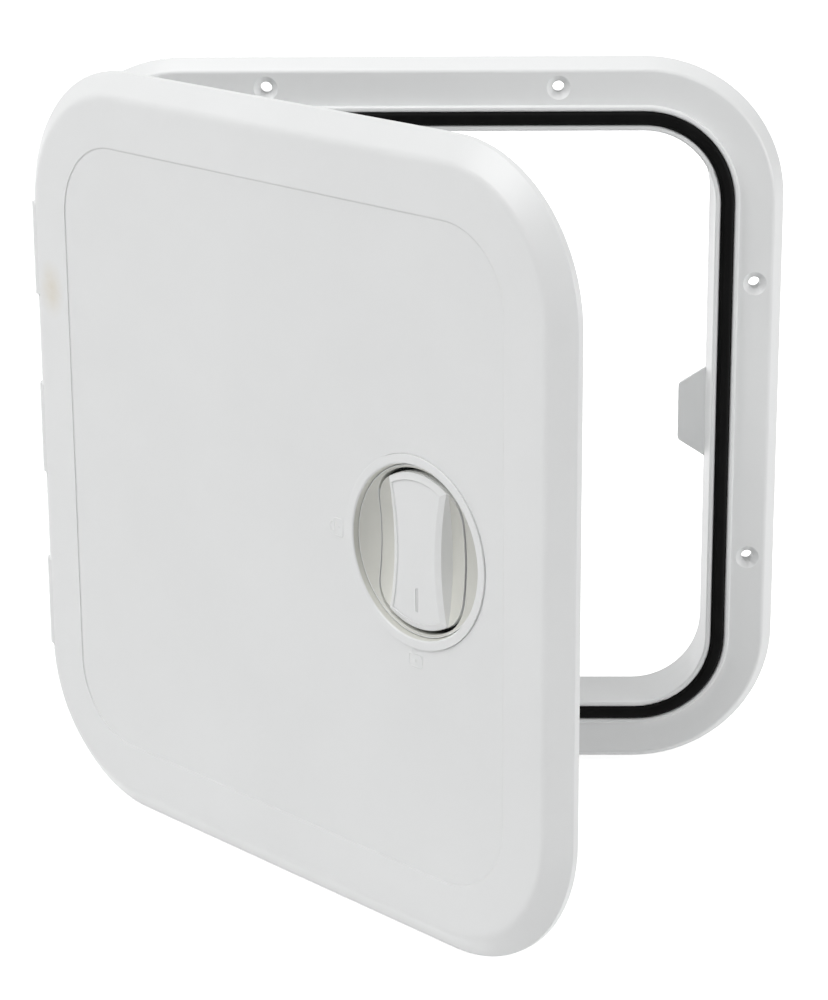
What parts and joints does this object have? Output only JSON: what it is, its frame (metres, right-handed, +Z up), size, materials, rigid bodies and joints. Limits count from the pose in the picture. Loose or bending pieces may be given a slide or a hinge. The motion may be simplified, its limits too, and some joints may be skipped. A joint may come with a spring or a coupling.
{
  "type": "access hatch",
  "caption": "Square upright access hatch with rounded corners, a gasketed flange with a collar, a side-hinged lid and a flush turning latch.",
  "frame": {"origin": "centre of the flange's mounting face, which is the plane y = 0", "axes": "+Y through the cut-out behind the flange, +Z up along the hinge edge, +X from the hinge side to the latch side"},
  "size_m": [0.3793, 0.31, 0.381],
  "materials": {
    "white_moulding": "satin white ASA, injection moulded",
    "lid_white": "satin white ASA, finely grained centre panel",
    "latch_white": "satin white moulding",
    "black_rubber": "smooth black EPDM",
    "stainless": "bright turned stainless steel"
  },
  "bodies": {
    "frame": {"frame": "white_moulding", "frame_gasket": "black_rubber", "hinge_pin_upper": "stainless", "hinge_pin_middle": "stainless", "hinge_pin_lower": "stainless"},
    "lid": {"lid": "lid_white", "latch_housing": "latch_white", "housing_ring_nut": "white_moulding"},
    "handle": {"latch_handle": "latch_white", "latch_dial": "latch_white", "grip_seal": "black_rubber", "shaft_o_ring": "black_rubber", "spring_washer": "stainless", "latch_cam": "latch_white", "cam_washer": "stainless", "cam_screw": "stainless"}
  },
  "joints": [
    {"name": "lid_hinge", "type": "hinge", "parent": "frame", "child": "lid", "pos_m": [-0.187, -0.014, 0], "axis": [0, 0, -1], "range_deg": [-46.2, 68.8]},
    {"name": "handle_turn", "type": "hinge", "parent": "lid", "child": "handle", "pos_m": [0.00922, -0.21862, 0], "axis": [0.7218, 0.6921, 0], "range_deg": [0, 90]}
  ]
}
